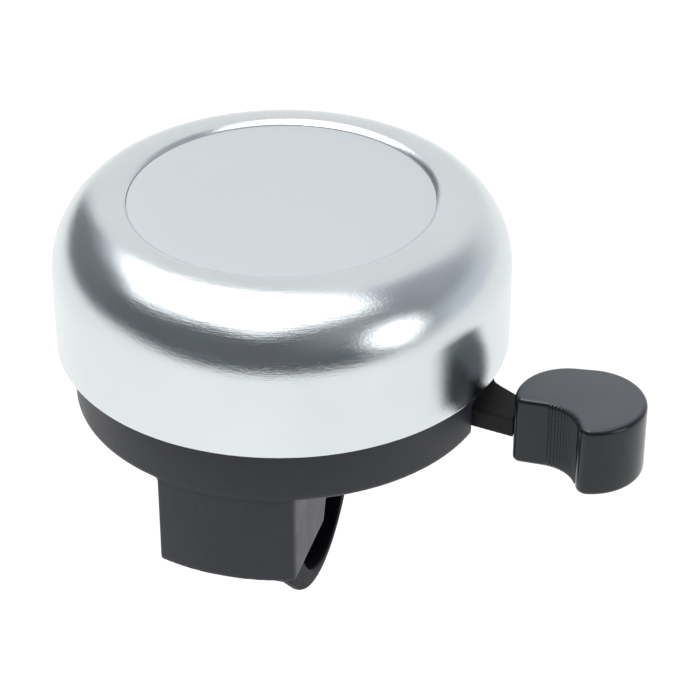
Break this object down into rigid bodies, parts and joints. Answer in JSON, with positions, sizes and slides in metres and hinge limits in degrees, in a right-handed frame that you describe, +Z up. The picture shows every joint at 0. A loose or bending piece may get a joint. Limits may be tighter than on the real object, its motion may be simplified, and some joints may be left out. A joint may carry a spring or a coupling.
{
  "type": "bicycle bell",
  "caption": "Handlebar bell with a spun alloy dome and round label over a dark plastic base, a side thumb lever that turns a geared ringer inside, and a hinged strap clamp.",
  "frame": {"origin": "centre of the handlebar bore", "axes": "+X along the handlebar towards the thumb lever, +Y to the hinge side of the clamp, +Z up through the dome"},
  "size_m": [0.077, 0.058, 0.0552],
  "materials": {
    "base_plastic": "moulded, satin",
    "pad_plastic": "moulded, semi-gloss",
    "dome_alloy": "spun, satin",
    "label_face": "matt, fine grain",
    "steel": "zinc plated",
    "spring_steel": "bright wire",
    "brass": "turned",
    "nylon": "natural nylon"
  },
  "bodies": {
    "base": {"base_housing": "base_plastic", "dome": "dome_alloy", "dome_label": "label_face", "dome_bush": "brass", "dome_lock_nut": "steel", "centre_post": "steel", "thrust_washer": "brass", "rotor_clip": "steel", "idler_pin": "steel", "idler_clip": "steel", "lever_pivot_pin": "steel", "lever_clip": "steel", "lever_spring": "spring_steel", "clamp_strap": "base_plastic", "strap_hinge_pin": "steel", "clamp_screw": "steel", "clamp_nut": "steel"},
    "lever": {"lever": "base_plastic", "thumb_pad": "pad_plastic"},
    "idler": {"idler_gear": "nylon"},
    "rotor": {"rotor_pinion": "nylon", "rotor_arm": "steel", "striker_pins": "steel"},
    "striker_a": {"striker_washer_a": "steel"},
    "striker_b": {"striker_washer_b": "steel"}
  },
  "joints": [
    {"name": "lever_swing", "type": "hinge", "parent": "base", "child": "lever", "pos_m": [0.01, 0.0135, 0.0177], "axis": [0, 0, 1], "range_deg": [0, 35], "stiffness_Nm_per_rad": 0.2, "springref_deg": -11.46, "deforming": ["lever_spring"]},
    {"name": "idler_spin", "type": "hinge", "parent": "base", "child": "idler", "pos_m": [-0.00438, 0.01267, 0.019], "axis": [0, 0, 1], "range_deg": [-122.5, 0]},
    {"name": "rotor_spin", "type": "hinge", "parent": "base", "child": "rotor", "pos_m": [0, 0.0015, 0.024], "axis": [0, 0, 1], "range_deg": [0, 285.84]},
    {"name": "striker_a_throw", "type": "slide", "parent": "rotor", "child": "striker_a", "axis": [0.5, 0.866, 0], "range_m": [0, 0.00135]},
    {"name": "striker_b_throw", "type": "slide", "parent": "rotor", "child": "striker_b", "axis": [-0.5, -0.866, 0], "range_m": [0, 0.00135]}
  ],
  "couplings": [
    {"joint": "idler_spin", "follows": "lever_swing", "ratio": -3.5},
    {"joint": "rotor_spin", "follows": "lever_swing", "ratio": 8.1667}
  ]
}
